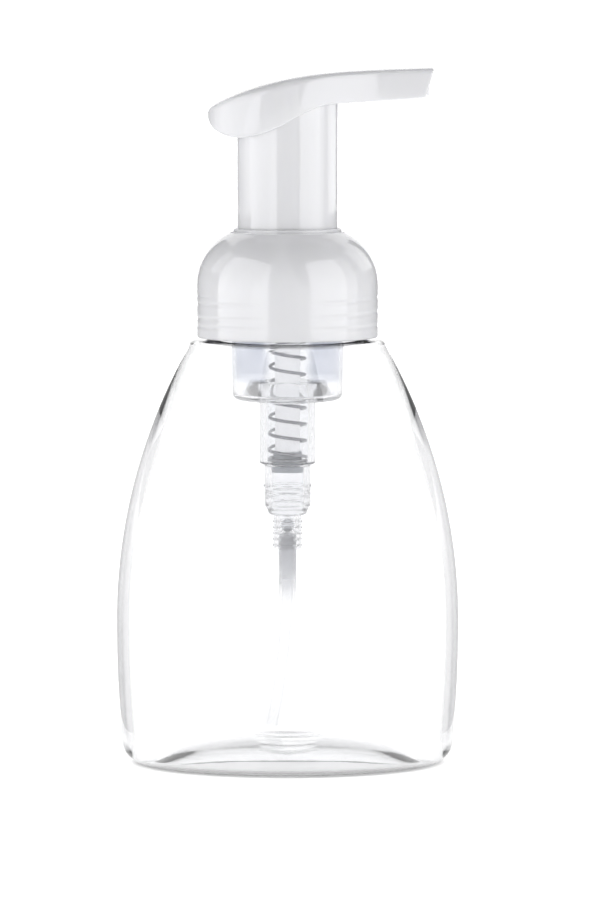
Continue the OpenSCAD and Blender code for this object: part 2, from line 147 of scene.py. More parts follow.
class Recipe:
    """Builds one node material around a Principled shader."""

    def __init__(self, name: str) -> None:
        """Starts an empty material with a Principled shader and its output.

        Args:
            name: the material's name.
        """
        self.material = bpy.data.materials.new(name)
        self.material.use_nodes = True
        self.tree = self.material.node_tree
        self.tree.nodes.clear()
        self.shader = self.add("ShaderNodeBsdfPrincipled", {}, {})
        self.output = self.add("ShaderNodeOutputMaterial", {}, {"Surface": self.shader.outputs["BSDF"]})

    def add(self, kind: str, settings: dict[str, object], inputs: dict[str | int, object]) -> bpy.types.Node:
        """Adds a node of any kind.

        Args:
            kind: the node's type.
            settings: properties of the node, set before its sockets.
            inputs: values or links of its sockets, by name or number.

        Returns:
            The new node.
        """
        node = self.tree.nodes.new(kind)
        for key, value in settings.items():
            setattr(node, key, value)
        for key, value in inputs.items():
            if isinstance(value, Signal):
                value = value.socket
            if isinstance(value, bpy.types.NodeSocket):
                self.tree.links.new(value, node.inputs[key])
            else:
                node.inputs[key].default_value = value
        return node

    def place(self) -> bpy.types.NodeSocket:
        """The Object coordinate, in metres."""
        return self.add("ShaderNodeTexCoord", {}, {}).outputs["Object"]

    def axis(self, name: str) -> Signal:
        """The coordinate along one axis, in metres."""
        parts = self.add("ShaderNodeSeparateXYZ", {}, {0: self.place()})
        return Signal(self, parts.outputs[name])

    def ease(self, value: Signal, low: float, high: float) -> Signal:
        """Goes smoothly from 0 to 1 as value goes from low to high.

        Args:
            value: what the result follows.
            low: where it starts to rise; above high it falls instead.
            high: where it has risen.

        Returns:
            A value from 0 to 1.
        """
        node = self.add("ShaderNodeMapRange", {"interpolation_type": "SMOOTHSTEP"},
                        {"Value": value, "From Min": low, "From Max": high})
        return Signal(self, node.outputs[0])

    def noise(self, size: float, detail: float = 2.0, roughness: float = 0.5) -> Signal:
        """A soft noise from 0 to 1.

        Args:
            size: the width of a typical blotch, in metres.
            detail: how many finer layers are added.
            roughness: how strong the finer layers are.

        Returns:
            The noise's factor.
        """
        node = self.add("ShaderNodeTexNoise", {}, {"Vector": self.place(), "Scale": 1 / size,
                                                   "Detail": detail, "Roughness": roughness})
        return Signal(self, node.outputs["Fac"])

    def between(self, share: Signal, low: float, high: float) -> Signal:
        """A value that goes from low to high as share goes from 0 to 1."""
        return share * (high - low) + low

    def blend(self, share: Signal, first: Colour, second: Colour) -> bpy.types.NodeSocket:
        """A colour that goes from first to second as share goes from 0 to 1."""
        node = self.add("ShaderNodeMix", {"data_type": "RGBA"}, {0: share, 6: (*first, 1.0), 7: (*second, 1.0)})
        return node.outputs[2]

    def bump(self, height: Signal, depth: float, strength: float = 1.0) -> None:
        """Lets a height pattern of the given depth in metres tilt the surface."""
        node = self.add("ShaderNodeBump", {}, {"Height": height, "Distance": depth, "Strength": strength})
        self.link("Normal", node.outputs["Normal"])

    def link(self, socket: str, value: Signal | bpy.types.NodeSocket) -> None:
        """Feeds a Principled socket with something that varies."""
        self.tree.links.new(value.socket if isinstance(value, Signal) else value, self.shader.inputs[socket])

    def fix(self, **values: float | tuple[float, ...]) -> None:
        """Sets Principled sockets to constants; an underscore in a name stands for a space."""
        for name, value in values.items():
            self.shader.inputs[name.replace("_", " ")].default_value = value


@dataclass(frozen=True)
class Finish:
    """A moulded plastic or metal: its colour, gloss and how they vary.

    Attributes:
        name: the material's name.
        colour: the usual colour.
        worn: the colour that its blotches drift towards.
        gloss: the lowest and highest roughness.
        blotch: the width of a blotch in metres.
        grain: the width of the fine surface texture in metres.
        grain_depth: how deep that texture is in metres.
        constants: the Principled sockets that are the same all over.
        absorbs: how strongly the plastic greys light that runs through it, per metre.
        side_shade_from: height in metres above which the plastic's left and right sides get a painted shade; 0 for
            nowhere.
        side_shade: the bluish grey that the colour is multiplied by there, in patches: a painted shade.
        faint_below: height in metres below which the plastic fades; 0 for nowhere.
        painted_glow_band: lowest and highest height and the radius of a band of the plastic that glows white, a painted
            glow; empty for none.
    """

    name: str
    colour: Colour
    worn: Colour
    gloss: Point
    blotch: float
    grain: float
    grain_depth: float
    constants: dict[str, float | tuple[float, ...]] = field(default_factory=dict)
    absorbs: float = 0.0
    side_shade_from: float = 0.0
    side_shade: Colour = WHITE
    faint_below: float = 0.0
    painted_glow_band: tuple[float, ...] = ()

    def make(self) -> bpy.types.Material:
        """Builds the material.

        Returns:
            The finished material.
        """
        recipe = Recipe(self.name)
        drift = recipe.noise(self.blotch, 3.0)
        colour = recipe.blend(drift, self.colour, self.worn)
        # Painted shade: above that height the sides left and right of the axis are darkened in patches with a bluish
        # grey.
        if self.side_shade_from:
            above = recipe.ease(recipe.axis("Z"), self.side_shade_from, self.side_shade_from + 2 * MM)
            aside = recipe.ease(recipe.axis("X").size() + recipe.noise(4 * MM) * 0.003, 5.5 * MM, 8.5 * MM)
            patchy_side_shade = above * aside * recipe.between(recipe.noise(5 * MM, 3.0), 0.45, 1.3)
            colour = recipe.add("ShaderNodeMix", {"data_type": "RGBA", "blend_type": "MULTIPLY"}, {
                0: patchy_side_shade, 6: colour, 7: (*self.side_shade, 1.0)}).outputs[2]
        recipe.link("Base Color", colour)
        recipe.link("Roughness", recipe.between(recipe.noise(self.blotch * 0.4), *self.gloss))
        recipe.bump(recipe.noise(self.grain, 4.0, 0.6), self.grain_depth)
        recipe.fix(**self.constants)
        # Painted glow: between the two heights and inside the radius the plastic gives off white light.
        if self.painted_glow_band:
            low, high, radius = self.painted_glow_band
            level = recipe.ease(recipe.axis("Z"), low - 0.2 * MM, low + 0.2 * MM)
            level = level * recipe.ease(recipe.axis("Z"), high + 0.3 * MM, high - 0.3 * MM)
            near = recipe.axis("X") * recipe.axis("X") + recipe.axis("Y") * recipe.axis("Y")
            level = level * recipe.ease(near, (radius * 1.03) ** 2, (radius * 0.97) ** 2)
            recipe.link("Emission Color", recipe.blend(level, BLACK, WHITE))
        if self.faint_below:
            fade = recipe.ease(recipe.axis("Z"), self.faint_below - 12 * MM, self.faint_below)
            recipe.link("Alpha", recipe.between(fade, 0.14, 1.0))
        if self.absorbs:
            haze = recipe.add("ShaderNodeVolumeAbsorption", {}, {"Color": HAZE_GREY, "Density": self.absorbs})
            recipe.tree.links.new(haze.outputs["Volume"], recipe.output.inputs["Volume"])
        return recipe.material


CLEAR_PET = Finish("clear_pet", WHITE, (0.99, 0.993, 1.0), (0.0, 0.01), 0.03, 0.012, 1e-5,
                   {"Transmission_Weight": 1.0, "IOR": 1.575}, 66.0)
WHITE_PP = Finish("white_polypropylene", (0.8, 0.8, 0.818), (0.775, 0.778, 0.798), (0.08, 0.13), 0.02, 0.0006, 4e-7,
                  {"IOR": 1.49, "Subsurface_Weight": 0.25, "Subsurface_Radius": (0.9, 0.9, 1.0),
                   "Subsurface_Scale": 0.0012, "Specular_IOR_Level": 0.55})
# Inner white plastic for the air piston, mixing chamber and mesh cartridge; it glows faintly white, a painted glow
# standing in for lamp light that doesn't reach them through the clear parts.
GLOWING_INNER_PP = Finish("inner_polypropylene_glow", (0.93, 0.935, 0.945), (0.9, 0.905, 0.92), (0.12, 0.2), 0.01, 0.0006, 4e-7,
                  {"IOR": 1.49, "Transmission_Weight": 0.3, "Emission_Color": (1.0, 1.0, 1.0, 1.0),
                   "Emission_Strength": 0.22})
# The pump cylinder's natural plastic, with a bluish-grey painted shade on its left and right sides above 92.5 mm and a
# painted white glow within 11 mm of the axis between 88.5 and 93.2 mm.
NATURAL_PP = Finish("natural_polypropylene", (0.985, 0.987, 0.995), (0.96, 0.965, 0.98), (0.04, 0.1), 0.008,
                    0.002, 4e-6, {"Transmission_Weight": 0.97, "IOR": 1.49, "Emission_Strength": 0.12}, 90.0,
                    0.0925, (0.68, 0.7, 0.75), painted_glow_band=(0.0885, 0.0932, 0.011))
# Milky plastic of the piston rod; it glows faintly white, a painted glow standing in for lamp light that doesn't reach
# it through the clear parts.
GLOWING_MILKY_PP = Finish("milky_polypropylene_glow", (0.97, 0.97, 0.98), (0.95, 0.95, 0.965), (0.12, 0.2), 0.006, 0.001, 2e-6,
                  {"Transmission_Weight": 0.35, "IOR": 1.49, "Emission_Color": (1.0, 1.0, 1.0, 1.0),
                   "Emission_Strength": 0.26})
TUBE_PE = Finish("tube_polyethylene", (0.9, 0.905, 0.93), (0.86, 0.865, 0.9), (0.18, 0.3), 0.006, 0.002, 4e-6,
                 {"Transmission_Weight": 0.6, "IOR": 1.4}, faint_below=0.05)
SEAL_PE = Finish("seal_polyethylene", (0.8, 0.83, 0.88), (0.74, 0.78, 0.84), (0.3, 0.45), 0.006, 0.0008, 2e-6,
                 {"IOR": 1.51, "Subsurface_Weight": 0.2, "Subsurface_Radius": (1.0, 1.0, 1.0),
                  "Subsurface_Scale": 0.001})
SCREEN_NYLON = Finish("screen_nylon", (0.85, 0.86, 0.88), (0.78, 0.79, 0.82), (0.35, 0.5), 0.003, 0.0003, 2e-6,
                      {"IOR": 1.53})
SPRING_STEEL = Finish("spring_steel", (0.4, 0.4, 0.42), (0.28, 0.28, 0.3), (0.12, 0.24), 0.004, 0.0002, 3e-7,
                      {"Metallic": 1.0})
BALL_STEEL = Finish("ball_steel", (0.7, 0.71, 0.73), (0.62, 0.63, 0.65), (0.04, 0.1), 0.003, 0.0005, 2e-7,
                    {"Metallic": 1.0})


# ---------------------------------------------------------------- modelling moves


class Bench:
    """Modelling moves as made by hand: a primitive is started and then shaped in edit mode."""

    @staticmethod
    def clear() -> None:
        """Leaves edit mode and deselects everything."""
        if bpy.context.object is not None and bpy.context.object.mode != "OBJECT":
            bpy.ops.object.mode_set(mode="OBJECT")
        bpy.ops.object.select_all(action="DESELECT")

    @staticmethod
    def take(piece: bpy.types.Object) -> None:
        """Makes a piece the only selected one and the active one.

        Args:
            piece: the piece.
        """
        Bench.clear()
        piece.select_set(True)
        bpy.context.view_layer.objects.active = piece

    @staticmethod
    def finish(name: str) -> bpy.types.Object:
        """Closes seams, turns faces outwards and names the piece being edited.

        Args:
            name: the piece's name.

        Returns:
            The finished object, in object mode.
        """
        bpy.ops.mesh.select_all(action="SELECT")
        bpy.ops.mesh.remove_doubles(threshold=1e-7)
        bpy.ops.mesh.normals_make_consistent(inside=False)
        bpy.ops.object.mode_set(mode="OBJECT")
        piece = bpy.context.object
        piece.name = name
        piece.data.name = name
        return piece

    @staticmethod
    def smooth(piece: bpy.types.Object, degrees: float = 35.0) -> bpy.types.Object:
        """Shades a piece smooth, but keeps edges sharper than the angle crisp.

        Args:
            piece: the piece to shade.
            degrees: the sharpest angle between faces that is smoothed.

        Returns:
            The same piece.
        """
        Bench.take(piece)
        bpy.ops.object.shade_smooth_by_angle(angle=math.radians(degrees))
        return piece

    @staticmethod
    def turned(name: str, outline: Sequence[Point], steps: int = 128) -> bpy.types.Object:
        """Turns a closed outline of (radius, height) points round the pump's axis, as on a lathe.

        Args:
            name: the piece's name.
            outline: the outline's corners in order; a point on the axis has radius 0.
            steps: how many facets go round.

        Returns:
            The turned solid.
        """
        Bench.clear()
        bpy.ops.mesh.primitive_plane_add(size=MM)
        bpy.ops.object.mode_set(mode="EDIT")
        bpy.ops.mesh.select_mode(type="VERT")
        bpy.ops.mesh.merge(type="CENTER")
        here = outline[0]
        bpy.ops.transform.translate(value=(here[0], 0.0, here[1]))
        for there in outline[1:]:
            step = (there[0] - here[0], 0.0, there[1] - here[1])
            bpy.ops.mesh.extrude_region_move(TRANSFORM_OT_translate={"value": step})
            here = there
        bpy.ops.mesh.select_all(action="SELECT")
        if outline[0][0] > 0 or outline[-1][0] > 0:
            last = (outline[0][0] - here[0], 0.0, outline[0][1] - here[1])
            Bench.select_last_vertex()
            bpy.ops.mesh.extrude_region_move(TRANSFORM_OT_translate={"value": last})
            bpy.ops.mesh.select_all(action="SELECT")
            bpy.ops.mesh.remove_doubles(threshold=1e-8)
        bpy.ops.mesh.select_all(action="SELECT")
        bpy.ops.mesh.spin(steps=steps, angle=FULL_TURN, center=(0, 0, 0), axis=(0, 0, 1), use_auto_merge=True)
        return Bench.finish(name)

    @staticmethod
    def select_last_vertex() -> None:
        """Selects only the newest vertex of the piece being edited."""
        bpy.ops.mesh.select_all(action="DESELECT")
        bpy.ops.object.mode_set(mode="OBJECT")
        vertices = bpy.context.object.data.vertices
        vertices[len(vertices) - 1].select = True
        bpy.ops.object.mode_set(mode="EDIT")

    @staticmethod
    def lofted(name: str, rings: Sequence[Ring], steps: int = 128) -> bpy.types.Object:
        """Draws a closed skin through a stack of oval rings, each extruded from the last.

        Args:
            name: the piece's name.
            rings: (height, half-width, half-depth) of each ring, in order along the skin.
            steps: how many facets go round.

        Returns:
            The closed skin.
        """
        Bench.clear()
        height, wide, deep = rings[0]
        bpy.ops.mesh.primitive_circle_add(vertices=steps, radius=1.0, fill_type="NGON", location=(0, 0, 0))
        bpy.ops.object.mode_set(mode="EDIT")
        bpy.ops.transform.resize(value=(wide, deep, 1.0), center_override=(0, 0, 0))
        bpy.ops.transform.translate(value=(0, 0, height))
        bpy.ops.mesh.select_mode(type="EDGE")
        bpy.ops.mesh.region_to_loop()
        for next_height, next_wide, next_deep in rings[1:]:
            bpy.ops.mesh.extrude_edges_move(TRANSFORM_OT_translate={"value": (0, 0, next_height - height)})
            bpy.ops.transform.resize(value=(next_wide / wide, next_deep / deep, 1.0),
                                     center_override=(0, 0, next_height))
            height, wide, deep = next_height, next_wide, next_deep
        bpy.ops.mesh.edge_face_add()
        bpy.ops.mesh.select_mode(type="VERT")
        return Bench.finish(name)

    @staticmethod
    def apply(piece: bpy.types.Object, kind: str, **settings: object) -> None:
        """Adds a modifier, sets it up and applies it.

        Args:
            piece: the piece to change.
            kind: the modifier's type.
            settings: the modifier's own properties.
        """
        Bench.take(piece)
        modifier = piece.modifiers.new(kind.lower(), kind)
        for key, value in settings.items():
            setattr(modifier, key, value)
        bpy.ops.object.modifier_apply(modifier=modifier.name)

    @staticmethod
    def carve(piece: bpy.types.Object, cutter: bpy.types.Object) -> None:
        """Cuts one piece out of another and throws the cutter away."""
        Bench.apply(piece, "BOOLEAN", operation="DIFFERENCE", solver="EXACT", object=cutter)
        bpy.data.objects.remove(cutter)

    @staticmethod
    def swept(name: str, path: Sequence[Vector], radius: float, resolution: int = 8) -> bpy.types.Object:
        """Sweeps a round wire along a path.

        Args:
            name: the piece's name.
            path: the points of the wire's middle.
            radius: the wire's radius.
            resolution: how finely the wire's quarter is rounded.

        Returns:
            The wire as a mesh with closed ends.
        """
        Bench.clear()
        line = bpy.data.curves.new(name, "CURVE")
        line.dimensions = "3D"
        line.bevel_depth = radius
        line.bevel_resolution = resolution
        line.use_fill_caps = True
        spline = line.splines.new("POLY")
        spline.points.add(len(path) - 1)
        for point, place in zip(spline.points, path):
            point.co = (*place, 1.0)
        piece = bpy.data.objects.new(name, line)
        bpy.context.scene.collection.objects.link(piece)
        piece.select_set(True)
        bpy.context.view_layer.objects.active = piece
        bpy.ops.object.convert(target="MESH")
        bpy.ops.object.mode_set(mode="EDIT")
        return Bench.finish(name)


def arc(centre: Point, radius: float, start: float, stop: float, count: int) -> list[Point]:
    """Points along an arc.

    Args:
        centre: the arc's centre, as (radius, height).
        radius: the arc's own radius.
        start: the first angle in degrees, from the outward direction.
        stop: the last angle in degrees.
        count: how many steps the arc has.

    Returns:
        count + 1 points.
    """
    angles = [math.radians(start + (stop - start) * i / count) for i in range(count + 1)]
    return [(centre[0] + radius * math.cos(a), centre[1] + radius * math.sin(a)) for a in angles]


def wind(piece: bpy.types.Object, pitch: float, depth: float, width: float, start: float, turns: float,
         share_at: Callable[[Vector], float]) -> None:
    """Raises or sinks a screw ridge in a finely ringed round wall.

    Args:
        piece: the turned piece.
        pitch: rise of the ridge in one turn, right-handed.
        depth: how far the ridge stands out; below zero it goes towards the axis.
        width: width of the ridge at its foot.
        start: height at which the ridge starts, straight towards +X.
        turns: how many turns it has.
        share_at: how much of the depth a place gets, 0 away from the wall.
    """
    for vertex in piece.data.vertices:
        spot = vertex.co
        part = share_at(spot)
        if part <= 0:
            continue
        turn = math.atan2(spot.y, spot.x) / FULL_TURN
        nearest = round((spot.z - start) / pitch - turn)
        nearest = min(max(nearest, -turn), turns - turn)
        off = abs(spot.z - start - (nearest + turn) * pitch)
        share = min(1.0, max(0.0, 1.6 * (1 - 2 * off / width)))
        scale = 1 + part * depth * share * share * (3 - 2 * share) / spot.xy.length
        vertex.co = (spot.x * scale, spot.y * scale, spot.z)


def dress(piece: bpy.types.Object, finish: bpy.types.Material) -> None:
    """Gives a piece its only material and logs which one.

    Args:
        piece: the piece to dress.
        finish: the material.
    """
    piece.data.materials.clear()
    piece.data.materials.append(finish)
    LOG.info("piece %s: %s", piece.name, finish.name)


class Shop:
    """Keeps one material of each finish."""

    def __init__(self) -> None:
        """Starts with no materials made."""
        self.made: dict[str, bpy.types.Material] = {}

    def __call__(self, finish: Finish) -> bpy.types.Material:
        """The material of a finish, made at its first use.

        Args:
            finish: the finish wanted.

        Returns:
            Its material.
        """
        if finish.name not in self.made:
            self.made[finish.name] = finish.make()
        return self.made[finish.name]


# ---------------------------------------------------------------- sub-assemblies


@dataclass
class Bottle:
    """The clear oval bottle.

    Attributes:
        wall: thickness of the body's wall at the front and back.
        end_wall: thickness of that wall at the oval's two ends.
        shoulder_r: radius of the round shoulder.
        neck_r: outer radius of the neck.
        neck_h: height of the neck above the shoulder.
        neck_wall: thickness of the neck's wall.
        widest: height at which the bottle is widest.
        base_w: half-width of the side at the base before its edge is rounded.
        heel: rounding of the edge between side and base.
        push_up: rise of the base's middle.
        dimple: depth of the dip in the base's middle.
        base_swell: how much thicker the base's middle is than the wall.
        corner: rounding of the shoulder's top edge.
        pitch: rise of the neck's thread in one turn.
        turns: length of that thread in turns.
        ridge: height of that thread.
    """

    wall: float = 0.9 * MM
    end_wall: float = 2.4 * MM
    shoulder_r: float = 23.1 * MM
    neck_r: float = 18.8 * MM
    neck_h: float = 14.9 * MM
    neck_wall: float = 1.8 * MM
    widest: float = 34.5 * MM
    base_w: float = 40 * MM
    heel: float = 5 * MM
    push_up: float = 5.2 * MM
    dimple: float = 1.4 * MM
    base_swell: float = 0.8 * MM
    corner: float = 1.6 * MM
    pitch: float = 3.4 * MM
    turns: float = 1.75
    ridge: float = 1.1 * MM

    def __post_init__(self) -> None:
        """Takes the overall sizes from the frame."""
        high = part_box("bottle")[1]
        self.half_w, self.half_d, self.land = high.x, high.y, high.z
        self.shoulder = self.land - self.neck_h

    @staticmethod
    def _drawn_in(inset: float, rise: float, step: float) -> float:
        """How far an upright arc that draws in by inset over rise has drawn in after step."""
        radius = (rise * rise + inset * inset) / (2 * inset)
        return radius - math.sqrt(radius * radius - step * step)

    def side(self, z: float) -> Point:
        """Half-width and half-depth of the body at a height, without the heel.

        Args:
            z: the height.

        Returns:
            The half-width and half-depth.
        """
        if z > self.widest:
            rise = self.shoulder - self.widest
            share = (z - self.widest) / rise
            wide = self.half_w - self._drawn_in(self.half_w - self.shoulder_r, rise, z - self.widest)
            return wide, self.half_d - (self.half_d - self.shoulder_r) * share ** 2.5
        wide = self.half_w - self._drawn_in(self.half_w - self.base_w, self.widest, self.widest - z)
        return wide, wide * self.half_d / self.half_w

    def ring(self, z: float, inset: float) -> Ring:
        """The wall's ring at a height, drawn in by inset, with the heel's rounding.

        Args:
            z: the height.
            inset: how far inside the bottle's outside it lies.

        Returns:
            The height, half-width and half-depth.
        """
        radius, rise = self.heel - inset, z - inset
        drawn = inset
        if rise < radius:
            drawn += radius - math.sqrt(max(0.0, radius * radius - (radius - rise) ** 2))
        wide, deep = self.side(z)
        return z, wide - drawn - (self.thicker_end(z) if inset else 0.0), deep - drawn

    def thicker_end(self, z: float) -> float:
        """How much thicker than its front the wall is at the oval's ends, at a height.

        Args:
            z: the height.

        Returns:
            The extra thickness.
        """
        share = min(z / (1.2 * self.heel), (self.shoulder - self.corner - z) / (5 * self.heel))
        share = min(1.0, max(0.0, share))
        return (self.end_wall - self.wall) * share * share * (3 - 2 * share)

    def base(self, lift: float, swell: float) -> list[Ring]:
        """Rings of the pushed-up base from its middle to the rim, raised by lift and by swell more in the middle.

        Args:
            lift: how far all of it is raised.
            swell: how much more the middle is raised.

        Returns:
            The rings from the middle outwards.
        """
        wide, deep = (size - self.heel for size in self.side(0.0))
        stand = 0.96
        rings = []
        for share in [0.02, 0.06, 0.1, 0.13, 0.16, 0.19, *[0.22 + 0.74 * i / 22 for i in range(23)], 1.0]:
            rise = self.push_up * max(0.0, 1 - (share / stand) ** 3)
            dimple = self.dimple * max(0.0, 1 - (share / 0.24) ** 2) ** 2
            rings.append((lift + swell * (1 - share ** 3) + rise - dimple, wide * share, deep * share))
        return rings

    def side_rings(self, inset: float) -> list[Ring]:
        """Rings of the wall from just above the rim to the shoulder's top edge.

        Args:
            inset: how far inside the bottle's outside they lie.

        Returns:
            The rings from below upwards.
        """
        radius = self.heel - inset
        heel = [inset + radius * (1 - math.cos(math.radians(a))) for a in range(9, 90, 9)]
        top = self.shoulder - self.corner
        wall = [self.heel + (top - self.heel) * i / 60 for i in range(61)]
        rings = [self.ring(z, inset) for z in heel + wall]
        z, wide, deep = rings[-1]
        round_r = self.corner - inset * 0.6
        for a in range(15, 91, 15):
            drawn = round_r * (1 - math.cos(math.radians(a)))
            rings.append((z + round_r * math.sin(math.radians(a)), wide - drawn, deep - drawn))
        return rings

    def build(self) -> bpy.types.Object:
        """Draws the outer skin up to the mouth and the inner skin back down to the base.

        Returns:
            The finished piece.
        """
        lip = 0.5 * MM
        bore = self.neck_r - self.neck_wall
        foot = 1.2 * MM
        outer = self.base(0.0, 0.0) + self.side_rings(0.0)
        outer += [(z, r, r) for r, z in arc((self.neck_r + foot, self.shoulder + foot), foot, 270, 180, 4)]
        neck_low, neck_top = self.shoulder + foot, self.land - lip
        outer += [(neck_low + (neck_top - neck_low) * i / 52, self.neck_r, self.neck_r) for i in range(1, 52)]
        outer += [(z, r, r) for r, z in arc((self.neck_r - lip, self.land - lip), lip, 0, 90, 4)]
        inner = [(z, r, r) for r, z in arc((bore + lip, self.land - lip), lip, 90, 180, 4)]
        inner += [(z, r, r) for r, z in arc((bore + foot, self.shoulder - self.wall + foot), foot, 180, 270, 4)]
        inner += list(reversed(self.side_rings(self.wall)))
        inner += list(reversed(self.base(self.wall, self.base_swell)))
        piece = Bench.lofted("clear_bottle", outer + inner, 160)
        wind(piece, self.pitch, self.ridge, 1.9 * MM, self.land - 2.6 * MM - self.pitch * self.turns, self.turns,
             lambda spot: neck_low < spot.z < neck_top and spot.xy.length > self.neck_r - 0.1 * MM)
        return Bench.smooth(piece, 50)

    def dress(self, shop: Shop) -> None:
        """Builds the bottle and gives it its clear plastic.

        Args:
            shop: where the materials come from.
        """
        piece = self.build()
        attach(piece, Body.BOTTLE.value)
        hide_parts("bottle")
        dress(piece, shop(CLEAR_PET))


@dataclass
class Collar:
    """The domed screw collar.

    Attributes:
        wall: thickness of the collar.
        dome: radius of the dome's shoulder arc.
        dome_rise: height of the dome's arc centre above the collar's lower rim.
        opening: radius of the hole for the sleeve.
        rim: rounding of the lower rim.
        sink: depth of the faint grooves that the inner thread leaves outside.
        ridge: height of the inner thread.
        pitch: rise of the thread in one turn.
    """

    wall: float = 1.7 * MM
    dome: float = 14 * MM
    dome_rise: float = 12.55 * MM
    opening: float = 13.5 * MM
    rim: float = 0.5 * MM
    sink: float = 0.1 * MM
    ridge: float = 1.1 * MM
    pitch: float = 3.4 * MM

    def __post_init__(self) -> None:
        """Takes the overall sizes from the frame."""
        low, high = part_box("closure")
        self.radius, self.bottom = high.x, low.z

    def outline(self) -> list[Point]:
        """The collar's section, from the lower rim over the dome and back inside.

        Returns:
            The corners as (radius, height).
        """
        centre = (self.radius - self.dome, self.bottom + self.dome_rise)
        inner_arc = self.dome - self.wall
        outer_end = math.degrees(math.acos((self.opening - centre[0]) / self.dome))
        inner_end = math.degrees(math.acos((self.opening - centre[0]) / inner_arc))
        bore = self.radius - self.wall
        side = [self.bottom + self.rim + (self.dome_rise - self.rim) * i / 48 for i in range(1, 48)]
        points = [(bore, self.bottom + self.rim), (bore + self.rim, self.bottom)]
        points += arc((self.radius - self.rim, self.bottom + self.rim), self.rim, -90, 0, 5)
        points += [(self.radius, z) for z in side]
        points += arc(centre, self.dome, 0, outer_end - 2, 36)
        points += arc((self.opening + 0.35 * MM, centre[1] + self.dome * math.sin(math.radians(outer_end)) - 0.35 * MM),
                      0.35 * MM, 80, 180, 5)
        points += arc(centre, inner_arc, inner_end, 0, 24)
        points += [(bore, z) for z in reversed(side)]
        return points

    def build(self) -> bpy.types.Object:
        """Turns the collar and sinks its faint thread lines.

        Returns:
            The finished piece.
        """
        piece = Bench.turned("screw_collar", self.outline(), 192)
        top, low, middle = self.bottom + self.dome_rise, self.bottom + 2 * MM, self.radius - self.wall / 2
        wind(piece, self.pitch, -self.sink, 1.3 * MM, self.bottom + 2.95 * MM, 2.0,
             lambda spot: ((low < spot.z < top and spot.xy.length > middle)
                           * min(1.0, (1.6 * spot.x / self.radius) ** 2)))
        wind(piece, self.pitch, -self.ridge, 1.9 * MM, self.bottom + 3.1 * MM, 2.0,
             lambda spot: self.bottom + MM < spot.z < top and spot.xy.length < middle)
        return Bench.smooth(piece, 40)

    def dress(self, shop: Shop) -> None:
        """Builds the collar and gives it its white plastic.

        Args:
            shop: where the materials come from.
        """
        piece = self.build()
        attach(piece, Body.COLLAR.value)
        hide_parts("closure")
        dress(piece, shop(WHITE_PP))


